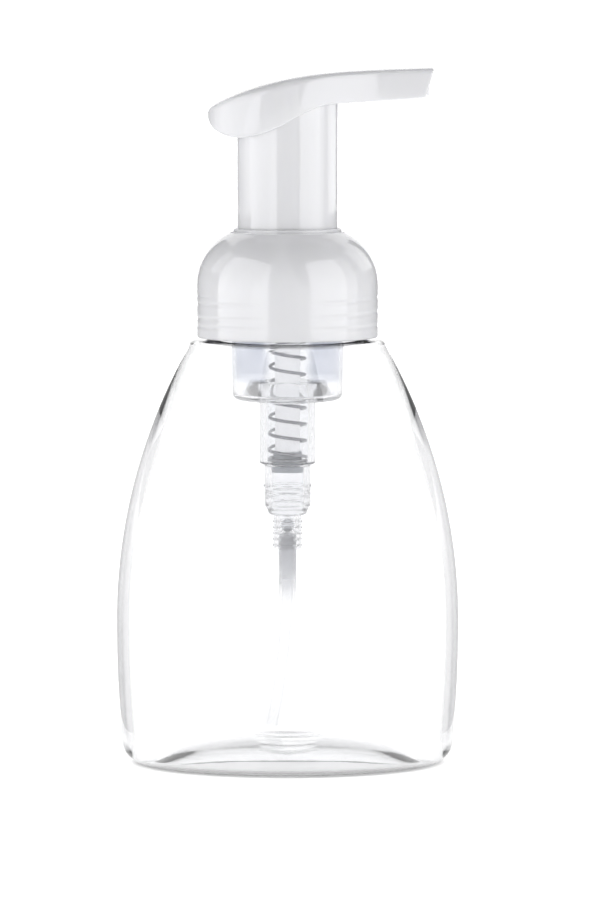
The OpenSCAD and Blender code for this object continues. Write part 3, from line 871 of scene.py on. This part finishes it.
@dataclass
class PumpBody:
    """The clear pump cylinder, its guide ring, the return spring and the dip tube.

    Attributes:
        stroke: how far the pump is pressed; not used.
        wire: diameter of the spring wire.
        coil_pitch: pitch of the spring's open coils.
        flare: how much wider the spring is at its foot.
        tube_wall: thickness of the dip tube's wall.
        tube_bend: radius of the dip tube's bend.
        tube_straight: length of the dip tube's straight stretch under its socket.
    """

    stroke: float = 9.5 * MM
    wire: float = 0.8 * MM
    coil_pitch: float = 3.95 * MM
    flare: float = 0.45 * MM
    tube_wall: float = 0.75 * MM
    tube_bend: float = 190 * MM
    tube_straight: float = 5 * MM

    def __post_init__(self) -> None:
        """Takes heights and radii from the frame."""
        low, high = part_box("pump_cylinder")
        self.flange_r, self.socket_bottom, self.top = high.x, low.z, high.z
        self.spring_low, self.spring_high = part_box("return_spring")
        self.tube_low, self.tube_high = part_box("dip_tube")
        self.guide_low, self.guide_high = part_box("guide_ring")

    def cylinder_outline(self) -> list[Point]:
        """The pump cylinder's section, outside from the socket up and inside back down.

        Returns:
            The corners as (radius, height).
        """
        under, seat = self.top - 1.3 * MM, self.spring_low.z
        air_r, air_bore, air_bottom = 13.5 * MM, 12.6 * MM, self.top - 31.6 * MM
        house_r, house_bore = 6.9 * MM, 5.2 * MM
        liquid_r, liquid_bore = 5.7 * MM, 4.0 * MM
        bell_r, bell_bore, bell_floor = 15.5 * MM, 14.4 * MM, under - 9.1 * MM
        floor = seat - 12.4 * MM
        bottom, socket_r, tube_r = floor - 0.5 * MM, 3.4 * MM, 2.22 * MM
        ball_seat = floor - 4.2 * MM
        rib, rib_pitch = 0.3 * MM, 1.45 * MM
        points = [(tube_r, self.socket_bottom), (socket_r, self.socket_bottom)]
        for i in range(5):
            z = self.socket_bottom + 0.5 * MM + rib_pitch * i
            points += [(socket_r, z), (socket_r + rib, z + 0.15 * MM), (socket_r + rib, z + 0.45 * MM),
                       (socket_r, z + 0.6 * MM)]
        points += [(socket_r, bottom)]
        points += arc((liquid_r - 1.9 * MM, bottom + 1.1 * MM), 1.1 * MM, -90, 0, 6)
        for groove in (bottom + 2.4 * MM, bottom + 4.2 * MM, bottom + 5.4 * MM):
            points += [(liquid_r, groove), (liquid_r - 0.18 * MM, groove + 0.12 * MM),
                       (liquid_r - 0.18 * MM, groove + 0.34 * MM), (liquid_r, groove + 0.46 * MM)]
        points += [(liquid_r, seat - 6.1 * MM)]
        points += [(liquid_r + 0.25 * MM, seat - 5.95 * MM), (liquid_r + 0.25 * MM, seat - 5.65 * MM)]
        points += [(liquid_r, seat - 5.5 * MM), (liquid_r, seat - 0.9 * MM), (house_r, seat - 0.2 * MM)]
        points += [(house_r, air_bottom - 0.6 * MM), (house_r + 0.5 * MM, air_bottom)]
        points += arc((air_r - 1.4 * MM, air_bottom + 1.4 * MM), 1.4 * MM, -90, 0, 8)
        points += [(air_r, bell_floor - 1.1 * MM), (bell_r, bell_floor + 0.4 * MM), (bell_r, under)]
        points += [(self.flange_r, under), (self.flange_r, self.top)]
        points += [(bell_bore, self.top), (bell_bore, bell_floor), (air_bore, bell_floor)]
        points += arc((air_bore - 0.6 * MM, air_bottom + 1.7 * MM), 0.6 * MM, 0, -90, 4)
        points += [(10.9 * MM, air_bottom + 1.1 * MM), (9.45 * MM, air_bottom + 4.1 * MM),
                   (9.0 * MM, air_bottom + 4.4 * MM), (house_bore + 0.3 * MM, air_bottom + 4.4 * MM),
                   (house_bore, air_bottom + 4.1 * MM), (house_bore, seat), (liquid_bore, seat)]
        points += [(liquid_bore, floor), (1.3 * MM, floor), (1.3 * MM, floor - 0.35 * MM),
                   (1.9 * MM, floor - 0.75 * MM), (1.9 * MM, ball_seat), (1.2 * MM, ball_seat),
                   (1.2 * MM, ball_seat - 0.8 * MM), (tube_r, ball_seat - 0.8 * MM)]
        return points

    def guide_outline(self) -> list[Point]:
        """The guide ring's section.

        Returns:
            The corners as (radius, height).
        """
        bore, tube = 12.6 * MM, 13.2 * MM
        flange_z, flange_r = self.top + 0.05 * MM, self.guide_high.x
        flange_top = self.top + 1.2 * MM
        low, high = self.guide_low.z, self.guide_high.z
        skirt_r = 14.25 * MM
        lip_r = 10.9 * MM
        return [(lip_r, low), (skirt_r, low), (skirt_r, flange_z), (flange_r, flange_z), (flange_r, flange_top),
                (tube, flange_top), (tube, high - 0.2 * MM), (tube - 0.15 * MM, high), (bore + 0.15 * MM, high),
                (bore, high - 0.2 * MM), (bore, flange_z), (skirt_r - 0.9 * MM, flange_z),
                (skirt_r - 0.9 * MM, low + 1.2 * MM), (lip_r, low + 1.2 * MM)]

    def spring(self) -> bpy.types.Object:
        """Winds the left-hand return spring, with a closed turn at each end.

        Returns:
            The finished piece.
        """
        low = self.spring_low.z + self.wire / 2
        height = self.spring_high.z - self.spring_low.z - self.wire
        turns = (height - 2 * self.wire) / self.coil_pitch + 2
        mean = self.spring_high.x - self.wire / 2
        count = math.ceil(turns * 48)
        path = []
        for i in range(count + 1):
            turn = turns * i / count
            rise = min(turn, 1.0) * self.wire + max(0.0, min(turn, turns - 1) - 1) * self.coil_pitch
            rise += max(0.0, turn - turns + 1) * self.wire
            angle = -FULL_TURN * turn
            radius = mean + self.flare * max(0.0, 1 - rise / (0.5 * height)) ** 0.5
            path.append(Vector((radius * math.cos(angle), radius * math.sin(angle), low + rise)))
        return Bench.smooth(Bench.swept("return_coil", path, self.wire / 2, 3))

    def tube(self) -> bpy.types.Object:
        """Draws the dip tube, straight out of its socket and then gently bent.

        Returns:
            The finished piece.
        """
        radius = self.tube_high.x
        top, knee = self.tube_high.z, self.socket_bottom - self.tube_straight
        sweep = math.asin((knee - self.tube_low.z) / self.tube_bend)
        path = [Vector((0, 0, top)), Vector((0, 0, (top + knee) / 2))]
        for i in range(37):
            angle = sweep * i / 36
            path.append(Vector((-self.tube_bend * (1 - math.cos(angle)), 0, knee - self.tube_bend * math.sin(angle))))
        piece = Bench.swept("suction_tube", path, radius, 7)
        Bench.take(piece)
        bpy.ops.object.mode_set(mode="EDIT")
        bpy.ops.mesh.select_all(action="DESELECT")
        bpy.ops.mesh.select_mode(type="FACE")
        bpy.ops.object.mode_set(mode="OBJECT")
        for face in piece.data.polygons:
            face.select = len(face.vertices) > 4
        bpy.ops.object.mode_set(mode="EDIT")
        bpy.ops.mesh.delete(type="FACE")
        bpy.ops.object.mode_set(mode="OBJECT")
        Bench.apply(piece, "SOLIDIFY", thickness=self.tube_wall, offset=-1.0, use_even_offset=True)
        return Bench.smooth(piece, 50)

    def dress(self, shop: Shop) -> None:
        """Builds the pieces that hang in the neck and gives each its finish.

        Args:
            shop: where the materials come from.
        """
        cylinder = Bench.smooth(Bench.turned("pump_barrel", self.cylinder_outline(), 160), 38)
        guide = Bench.smooth(Bench.turned("guide_collar", self.guide_outline(), 128))
        for piece, node, finish, slot in ((cylinder, "pump_cylinder", NATURAL_PP, Slot.NATURAL),
                                          (guide, "guide_ring", WHITE_PP, Slot.WHITE),
                                          (self.spring(), "return_spring", SPRING_STEEL, Slot.SPRING),
                                          (self.tube(), "dip_tube", TUBE_PE, Slot.TUBE)):
            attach(piece, Body.PUMP.value)
            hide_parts(node)
            dress(piece, shop(finish))
            if node == "return_spring":
                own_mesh(piece)


@dataclass
class Head:
    """The leaf-shaped head, its sleeve and the nozzle's mouth.

    Attributes:
        waist: place along X of the head's widest section.
        half_w: half-width at the widest section.
        tip_half_w: half-width at the nozzle's tip.
        taper_end: place along X where the sides become parallel.
        crown: how much the top is domed across.
        top_round: rounding of the top's edges at the widest section.
        low_round: rounding of the lower edges there.
        channel_r: radius of the foam channel.
        mouth_r: outer radius of the mouth ring.
        slant: lean of the tip's face in degrees.
    """

    waist: float = -2 * MM
    half_w: float = 13 * MM
    tip_half_w: float = 5.6 * MM
    taper_end: float = 27 * MM
    crown: float = 0.5 * MM
    top_round: float = 2.4 * MM
    low_round: float = 0.8 * MM
    channel_r: float = 2.4 * MM
    mouth_r: float = 2.9 * MM
    slant: float = 16.0

    def __post_init__(self) -> None:
        """Takes the overall sizes from the frame."""
        low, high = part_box("actuator_head")
        self.back, self.reach, self.skirt, self.top = low.x, high.x, low.z, high.z
        self.sleeve_low, self.sleeve_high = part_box("actuator_sleeve")

    def top_at(self, x: float) -> float:
        """Height of the top at x, nearly flat at the nozzle and falling away to the back.

        Args:
            x: the place along X.

        Returns:
            The height.
        """
        run = self.reach - x
        drop = 0.03 * run + 0.95 * MM * (run / (31.8 * MM)) ** 4
        tail = max(0.0, self.back + 1.9 * MM - x) / (1.9 * MM)
        return self.top - drop - 1.5 * MM * (1 - math.sqrt(max(0.0, 1 - tail * tail)))

    def low_at(self, x: float) -> float:
        """Height of the lower edge at x, along a smooth line through its turning points.

        Args:
            x: the place along X.

        Returns:
            The height.
        """
        line = [(-19.2, 4.9), (-18.6, 3.4), (-17.6, 2.1), (-15.4, 0.75), (-12.0, 0.0), (-7.0, 0.7), (-3.0, 2.1),
                (0.0, 3.6), (3.5, 5.5), (7.0, 7.2), (9.5, 7.85), (13.0, 8.15), (24.0, 8.85), (36.0, 9.6)]
        place = x / MM
        index = max(0, min(len(line) - 2, sum(1 for point in line if point[0] <= place) - 1))
        (x0, z0), (x1, z1) = line[index], line[index + 1]
        before, after = line[max(0, index - 1)], line[min(len(line) - 1, index + 2)]
        share = min(1.0, max(0.0, (place - x0) / (x1 - x0)))
        slope0 = (z1 - before[1]) / (x1 - before[0]) * (x1 - x0)
        slope1 = (after[1] - z0) / (after[0] - x0) * (x1 - x0)
        square, cube = share * share, share ** 3
        rise = ((2 * cube - 3 * square + 1) * z0 + (cube - 2 * square + share) * slope0
                + (3 * square - 2 * cube) * z1 + (cube - square) * slope1)
        return self.skirt + rise * MM

    def half_at(self, x: float) -> float:
        """Half-width at x: round at the back and a slow S to the tip.

        Args:
            x: the place along X.

        Returns:
            The half-width.
        """
        if x < self.waist:
            share = (x - self.waist) / (self.waist - self.back)
            return self.half_w * math.sqrt(max(0.0, 1 - share * share))
        share = min(1.0, (x - self.waist) / (self.taper_end - self.waist))
        return self.tip_half_w + (self.half_w - self.tip_half_w) * math.cos(math.pi / 2 * share) ** 2

    def stations(self) -> list[float]:
        """Places along X of the head's sections, close together where the back is round.

        Returns:
            The places, from the back to the tip.
        """
        back = [self.waist - (self.waist - self.back) * math.cos(math.radians(a)) for a in range(5, 91, 5)]
        front = [self.waist + (self.reach - self.waist) * i / 32 for i in range(1, 33)]
        return back + front

    def first_section(self) -> None:
        """Draws the widest section as a rounded plate across the head and leaves it selected."""
        height = self.top_at(self.waist) - self.low_at(self.waist)
        Bench.clear()
        bpy.ops.mesh.primitive_plane_add(size=1.0, rotation=(0, math.pi / 2, 0))
        bpy.ops.object.transform_apply(location=False, rotation=True, scale=False)
        bpy.ops.object.mode_set(mode="EDIT")
        bpy.ops.transform.resize(value=(1.0, 2 * self.half_w, height), center_override=(0, 0, 0))
        self.pick(lambda spot: spot.z > 0)
        bpy.ops.mesh.bevel(offset=self.top_round, affect="VERTICES", segments=8)
        self.pick(lambda spot: spot.z < -height / 2 + TINY)
        bpy.ops.mesh.bevel(offset=self.low_round, affect="VERTICES", segments=4)
        self.pick(lambda spot: spot.z > height / 2 - TINY)
        bpy.ops.mesh.subdivide(number_cuts=7)
        bpy.ops.object.mode_set(mode="OBJECT")
        flat = self.half_w - self.top_round
        for vertex in bpy.context.object.data.vertices:
            if vertex.co.z > height / 2 - TINY:
                vertex.co.z += self.crown * (1 - (vertex.co.y / flat) ** 2) - self.crown
            elif vertex.co.z > 0:
                vertex.co.z -= self.crown
        bpy.ops.object.mode_set(mode="EDIT")
        bpy.ops.mesh.select_all(action="SELECT")

    @staticmethod
    def pick(wanted: Callable[[Vector], bool]) -> None:
        """Selects the vertices of the piece being edited whose place is wanted.

        Args:
            wanted: tells whether a place is wanted.
        """
        bpy.ops.mesh.select_mode(type="VERT")
        bpy.ops.mesh.select_all(action="DESELECT")
        bpy.ops.object.mode_set(mode="OBJECT")
        for vertex in bpy.context.object.data.vertices:
            vertex.select = wanted(vertex.co)
        bpy.ops.object.mode_set(mode="EDIT")

    def shell(self) -> bpy.types.Object:
        """Draws the head through its sections, from the back to the tip.

        Returns:
            The uncut head.
        """
        self.first_section()
        stations = self.stations()
        tall = self.top_at(self.waist) - self.low_at(self.waist)
        wide = self.half_w
        x = stations[0]
        middle = (self.top_at(x) + self.low_at(x)) / 2
        bpy.ops.transform.translate(value=(x, 0, middle))
        height, half = self.top_at(x) - self.low_at(x), self.half_at(x)
        bpy.ops.transform.resize(value=(1.0, half / wide, height / tall), center_override=(x, 0, middle))
        bpy.ops.mesh.select_mode(type="EDGE")
        bpy.ops.mesh.region_to_loop()
        for place in stations[1:]:
            next_middle = (self.top_at(place) + self.low_at(place)) / 2
            next_height, next_half = self.top_at(place) - self.low_at(place), self.half_at(place)
            step = (place - x, 0, next_middle - middle)
            bpy.ops.mesh.extrude_edges_move(TRANSFORM_OT_translate={"value": step})
            bpy.ops.transform.resize(value=(1.0, next_half / half, next_height / height),
                                     center_override=(place, 0, next_middle))
            x, middle, height, half = place, next_middle, next_height, next_half
        lean = height * math.tan(math.radians(self.slant))
        bpy.ops.mesh.edge_face_add()
        bpy.ops.object.mode_set(mode="OBJECT")
        data = bpy.context.object.data
        for vertex in data.vertices:
            near = max(0.0, 1 - (self.reach - vertex.co.x) / (6 * MM))
            share = (self.top_at(vertex.co.x) - vertex.co.z) / height
            vertex.co.x -= lean * share * near
        bpy.ops.object.mode_set(mode="EDIT")
        bpy.ops.mesh.bevel(offset=0.4 * MM, segments=3, affect="EDGES")
        bpy.ops.mesh.select_mode(type="VERT")
        return Bench.finish("pump_head")

    def cutter(self, radius: float, low: float, high: float) -> bpy.types.Object:
        """An upright cylinder on the pump's axis, for cutting."""
        return Bench.turned("cutter", [(0, low), (radius, low), (radius, high), (0, high)], 128)

    def channel(self) -> tuple[Vector, Vector]:
        """The start and direction of the foam channel.

        Returns:
            The start, and the direction with length 1.
        """
        start = Vector((0, 0, self.top - 5.8 * MM))
        end = Vector((self.reach, 0, self.top - 3.7 * MM))
        return start, (end - start).normalized()

    def bore(self, radius: float, near: float, far: float) -> bpy.types.Object:
        """A cylinder along the foam channel from near to far, for cutting.

        Args:
            radius: the cylinder's radius.
            near: distance of its near end from the channel's start.
            far: distance of its far end.

        Returns:
            The cutter.
        """
        start, way = self.channel()
        Bench.clear()
        bpy.ops.mesh.primitive_cylinder_add(vertices=64, radius=radius, depth=far - near,
                                            location=start + way * (near + far) / 2,
                                            rotation=(0, math.atan2(way.x, way.z), 0))
        bpy.ops.object.transform_apply(location=True, rotation=True, scale=True)
        return bpy.context.object

    def build_head(self) -> bpy.types.Object:
        """Carves the sleeve's socket and the foam channel into the head.

        Returns:
            The finished piece.
        """
        piece = self.shell()
        socket_top = self.sleeve_high.z + 0.1 * MM
        Bench.carve(piece, self.cutter(self.sleeve_high.x + 0.05 * MM, self.skirt - 5 * MM, socket_top))
        Bench.carve(piece, self.cutter(5.1 * MM, socket_top - MM, socket_top + 2.5 * MM))
        Bench.carve(piece, self.bore(self.channel_r, 0.0, self.reach + 8 * MM))
        Bench.carve(piece, self.bore(self.mouth_r + 0.03 * MM, self.reach - 5 * MM, self.reach + 8 * MM))
        return Bench.smooth(piece, 32)

    def build_sleeve(self) -> bpy.types.Object:
        """Turns the sleeve with its inner foam stem and the web between them.

        Returns:
            The finished piece.
        """
        foot, high, radius = self.sleeve_low.z, self.sleeve_high.z, self.sleeve_high.x
        inner, stem_r, stem_bore = radius - 1.1 * MM, 6.7 * MM, 5.5 * MM
        low_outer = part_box("guide_ring")[1].z - 6.1 * MM
        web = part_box("guide_ring")[1].z + 9.9 * MM
        edge = 0.4 * MM
        outline = [(stem_bore, foot), (stem_r, foot), (stem_r, web), (inner, web), (inner, low_outer + edge),
                   (inner + edge, low_outer), (radius - edge, low_outer), (radius, low_outer + edge),
                   *[(radius, low_outer + edge + (high - low_outer - edge) * i / 12) for i in range(1, 13)],
                   (inner, high), (inner, web + 1.2 * MM), (stem_r, web + 1.2 * MM), (stem_r, high),
                   (stem_bore, high)]
        return Bench.smooth(Bench.turned("head_sleeve", outline, 160))

    def build_mouth(self) -> bpy.types.Object:
        """Turns the mouth ring and lays it along the foam channel.

        Returns:
            The finished piece.
        """
        start, way = self.channel()
        outer, bore, near, far = self.mouth_r, 1.9 * MM, self.reach - 4.9 * MM, self.reach - 1.2 * MM
        outline = [(bore, near), (outer, near), (outer, far - 0.2 * MM), (outer - 0.2 * MM, far),
                   (bore + 0.5 * MM, far), (bore, far - 0.5 * MM)]
        piece = Bench.turned("nozzle_mouth", outline, 64)
        piece.rotation_euler = (0, math.atan2(way.x, way.z), 0)
        piece.location = start
        Bench.take(piece)
        bpy.ops.object.transform_apply(location=True, rotation=True, scale=True)
        return Bench.smooth(piece)

    def dress(self, shop: Shop) -> None:
        """Builds the head's pieces and gives them their white plastic.

        Args:
            shop: where the materials come from.
        """
        for piece, node in ((self.build_head(), "actuator_head"), (self.build_sleeve(), "actuator_sleeve"),
                            (self.build_mouth(), "nozzle_insert")):
            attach(piece, Body.HEAD.value)
            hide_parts(node)
            dress(piece, shop(WHITE_PP))


class InnerParts:
    """The pieces that keep their CAD shape: pistons, valves, balls, screens and the gasket."""

    FINISHES: dict[str, tuple[Finish, Slot]] = {
        "neck_gasket": (SEAL_PE, Slot.SEAL),
        "inlet_ball": (BALL_STEEL, Slot.BALL),
        "discharge_ball": (BALL_STEEL, Slot.BALL),
        "piston_rod": (GLOWING_MILKY_PP, Slot.WHITE),
        "liquid_piston": (SEAL_PE, Slot.SEAL),
        "air_piston": (GLOWING_INNER_PP, Slot.WHITE),
        "air_inlet_valve": (SEAL_PE, Slot.SEAL),
        "mixing_chamber": (GLOWING_INNER_PP, Slot.WHITE),
        "mesh_cartridge": (GLOWING_INNER_PP, Slot.WHITE),
        "lower_mesh": (SCREEN_NYLON, Slot.SCREEN),
        "upper_mesh": (SCREEN_NYLON, Slot.SCREEN),
    }

    def dress(self, shop: Shop, nodes: dict[str, bpy.types.Object]) -> None:
        """Gives each CAD piece its finish.

        Args:
            shop: where the materials come from.
            nodes: the frame's CAD objects by name.
        """
        for name, (finish, slot) in self.FINISHES.items():
            dress(nodes[name], shop(finish))


# ---------------------------------------------------------------- studio


@dataclass
class Studio:
    """A pale floor, soft light from both sides and the camera.

    Attributes:
        distance: how far in front of the pump's axis the camera stands.
        height: the camera's height.
        pitch: how far the camera looks down, in degrees.
        yaw: how far it looks to the right, in degrees.
        lens: focal length in millimetres on a film 24 mm high.
        backdrop: brightness of the white surroundings.
        glow: brightness that the floor gives off by itself.
        painted_shadow_spot: half-width and half-depth of the spot where the floor's glow is dimmed under the bottle, a
            painted shadow.
        under: share of the glow that is left in the middle of that painted shadow.
        rim: share of the glow that is left along its edge, where the painted shadow is darkest.
    """

    distance: float = 0.9
    height: float = 0.163
    pitch: float = 5.496
    yaw: float = 0.146
    lens: float = 99.39
    backdrop: float = 1.25
    glow: float = 0.78
    painted_shadow_spot: Point = (0.036, 0.022)
    under: float = 0.86
    rim: float = 0.4

    def camera(self) -> None:
        """Places the camera."""
        data = bpy.data.cameras.new("camera")
        data.sensor_fit = "VERTICAL"
        data.sensor_height = 24.0
        data.lens = self.lens
        data.clip_start = 0.01
        camera = bpy.data.objects.new("camera", data)
        camera.location = (0, -self.distance, self.height)
        camera.rotation_euler = (math.radians(90 - self.pitch), 0, math.radians(-self.yaw))
        bpy.context.scene.collection.objects.link(camera)
        bpy.context.scene.camera = camera

    def floor(self) -> None:
        """Lays the pale floor, which glows a little like a light table, its glow dimmed under the bottle as a painted
        shadow.
        """
        Bench.clear()
        bpy.ops.mesh.primitive_plane_add(size=60.0)
        plane = bpy.context.object
        plane.name = "studio_floor"
        recipe = Recipe("studio_floor")
        tone = recipe.blend(recipe.noise(0.8), (0.6, 0.6, 0.6), (0.62, 0.62, 0.62))
        recipe.link("Base Color", tone)
        recipe.fix(Roughness=0.9, Emission_Strength=self.glow)
        # Painted shadow: the glow is dimmed inside the bottle's oval footprint and dimmed most along its edge.
        wide = recipe.axis("X") * (1 / self.painted_shadow_spot[0])
        deep = recipe.axis("Y") * (1 / self.painted_shadow_spot[1])
        out = wide * wide + deep * deep
        level = recipe.ease(out, 1.0, 1.2) * (1 - self.rim) - recipe.ease(out, 0.55, 0.95) * (self.under - self.rim)
        level = level + self.under
        recipe.link("Emission Color", recipe.blend(level, BLACK, WHITE))
        plane.data.materials.append(recipe.material)

    def card(self, name: str, place: Sequence[float], turn: float, size: Point, shade: float,
             lean: float = 90.0, gloss_only: bool = False) -> None:
        """Stands up a card that the camera doesn't see, neither straight nor through clear pieces.

        Args:
            name: the card's name.
            place: the card's middle.
            turn: its turn about the vertical, in degrees; 0 faces the camera.
            size: its width and height.
            shade: its brightness.
            lean: its tilt from lying flat, in degrees.
            gloss_only: whether it shows in reflections only, and lights no matt surface.
        """
        Bench.clear()
        bpy.ops.mesh.primitive_plane_add(size=1.0, location=place,
                                         rotation=(math.radians(lean), 0, math.radians(turn)))
        card = bpy.context.object
        card.name = name
        card.scale = (*size, 1.0)
        bpy.ops.object.transform_apply(location=False, rotation=False, scale=True)
        recipe = Recipe(name)
        drift = recipe.noise(0.5)
        recipe.link("Emission Color", recipe.blend(drift, WHITE, (0.93, 0.93, 0.95)))
        recipe.fix(Base_Color=(0.0, 0.0, 0.0, 1.0), Roughness=1.0, Emission_Strength=shade,
                   Specular_IOR_Level=0.0)
        card.data.materials.append(recipe.material)
        card.visible_camera = False
        card.visible_transmission = False
        card.visible_diffuse = not gloss_only

    def softbox(self, name: str, azimuth: float, size: Point, radiance: float, reach: float = 0.8) -> None:
        """Stands up a softbox that faces the pump.

        Args:
            name: the lamp's name.
            azimuth: its bearing in degrees from the camera's side, positive to the right.
            size: its width and height.
            radiance: its brightness.
            reach: its distance from the pump.
        """
        data = bpy.data.lights.new(name, "AREA")
        data.shape = "RECTANGLE"
        data.size, data.size_y = size
        data.energy = radiance * math.pi * size[0] * size[1]
        lamp = bpy.data.objects.new(name, data)
        a = math.radians(azimuth)
        way = Vector((math.sin(a), -math.cos(a), 0))
        lamp.location = way * reach + Vector((0, 0, size[1] / 2))
        lamp.rotation_euler = (-way).to_track_quat("-Z", "Y").to_euler()
        lamp.visible_camera = False
        lamp.visible_transmission = False
        lamp.visible_glossy = False
        bpy.context.scene.collection.objects.link(lamp)

    def world(self) -> None:
        """Surrounds the scene with an even white backdrop."""
        world = bpy.data.worlds.new("studio")
        world.use_nodes = True
        bpy.context.scene.world = world
        glow = world.node_tree.nodes["Background"]
        glow.inputs["Color"].default_value = (1.0, 1.0, 1.0, 1.0)
        glow.inputs["Strength"].default_value = self.backdrop

    def build(self) -> None:
        """Sets up the whole studio."""
        self.camera()
        self.floor()
        self.world()
        self.card("room", (0, -1.6, 0.9), 0, (4.0, 1.8), 0.4)
        self.card("ceiling", (0, -0.3, 1.3), 0, (2.4, 2.4), 0.3, lean=0)
        for side, name in ((-1, "left"), (1, "right")):
            self.card(f"{name}_low_flag", (side * 0.062, 0.06, 0.052), 90, (0.12, 0.1), 0.4, gloss_only=True)
            self.card(f"{name}_collar_flag", (side * 0.062, 0.058, 0.117), 90, (0.13, 0.03), 0.0, gloss_only=True)
            self.card(f"{name}_back_flag", (side * 0.062, 0.095, 0.16), 90, (0.06, 0.055), 0.0, gloss_only=True)
        self.card("left_sleeve_flag", (-0.062, 0.04, 0.16), 90, (0.05, 0.055), 0.15, gloss_only=True)
        self.card("right_sleeve_flag", (0.062, 0.0, 0.16), 90, (0.016, 0.055), 0.1, gloss_only=True)
        self.card("left_panel", (-0.62, -0.36, 0.48), -60, (1.05, 0.95), 3.2, gloss_only=True)
        self.card("right_panel", (0.6, -0.44, 0.48), 54, (0.72, 0.95), 3.2, gloss_only=True)
        self.softbox("left_box", -58, (1.0, 1.0), 1.15)
        self.softbox("right_box", 54, (0.75, 1.0), 1.15)
        bpy.context.scene.view_settings.view_transform = "Standard"
        cycles = bpy.context.scene.cycles
        cycles.max_bounces = cycles.transmission_bounces = 32
        cycles.glossy_bounces = 12


def main() -> None:
    """Builds the dispenser around the frame and the studio around the dispenser."""
    logging.basicConfig(level=logging.INFO, format="%(message)s")
    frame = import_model()
    shop = Shop()
    Studio().build()
    Bottle().dress(shop)
    Collar().dress(shop)
    PumpBody().dress(shop)
    Head().dress(shop)
    InnerParts().dress(shop, frame["nodes"])


if __name__ == "__main__":
    main()
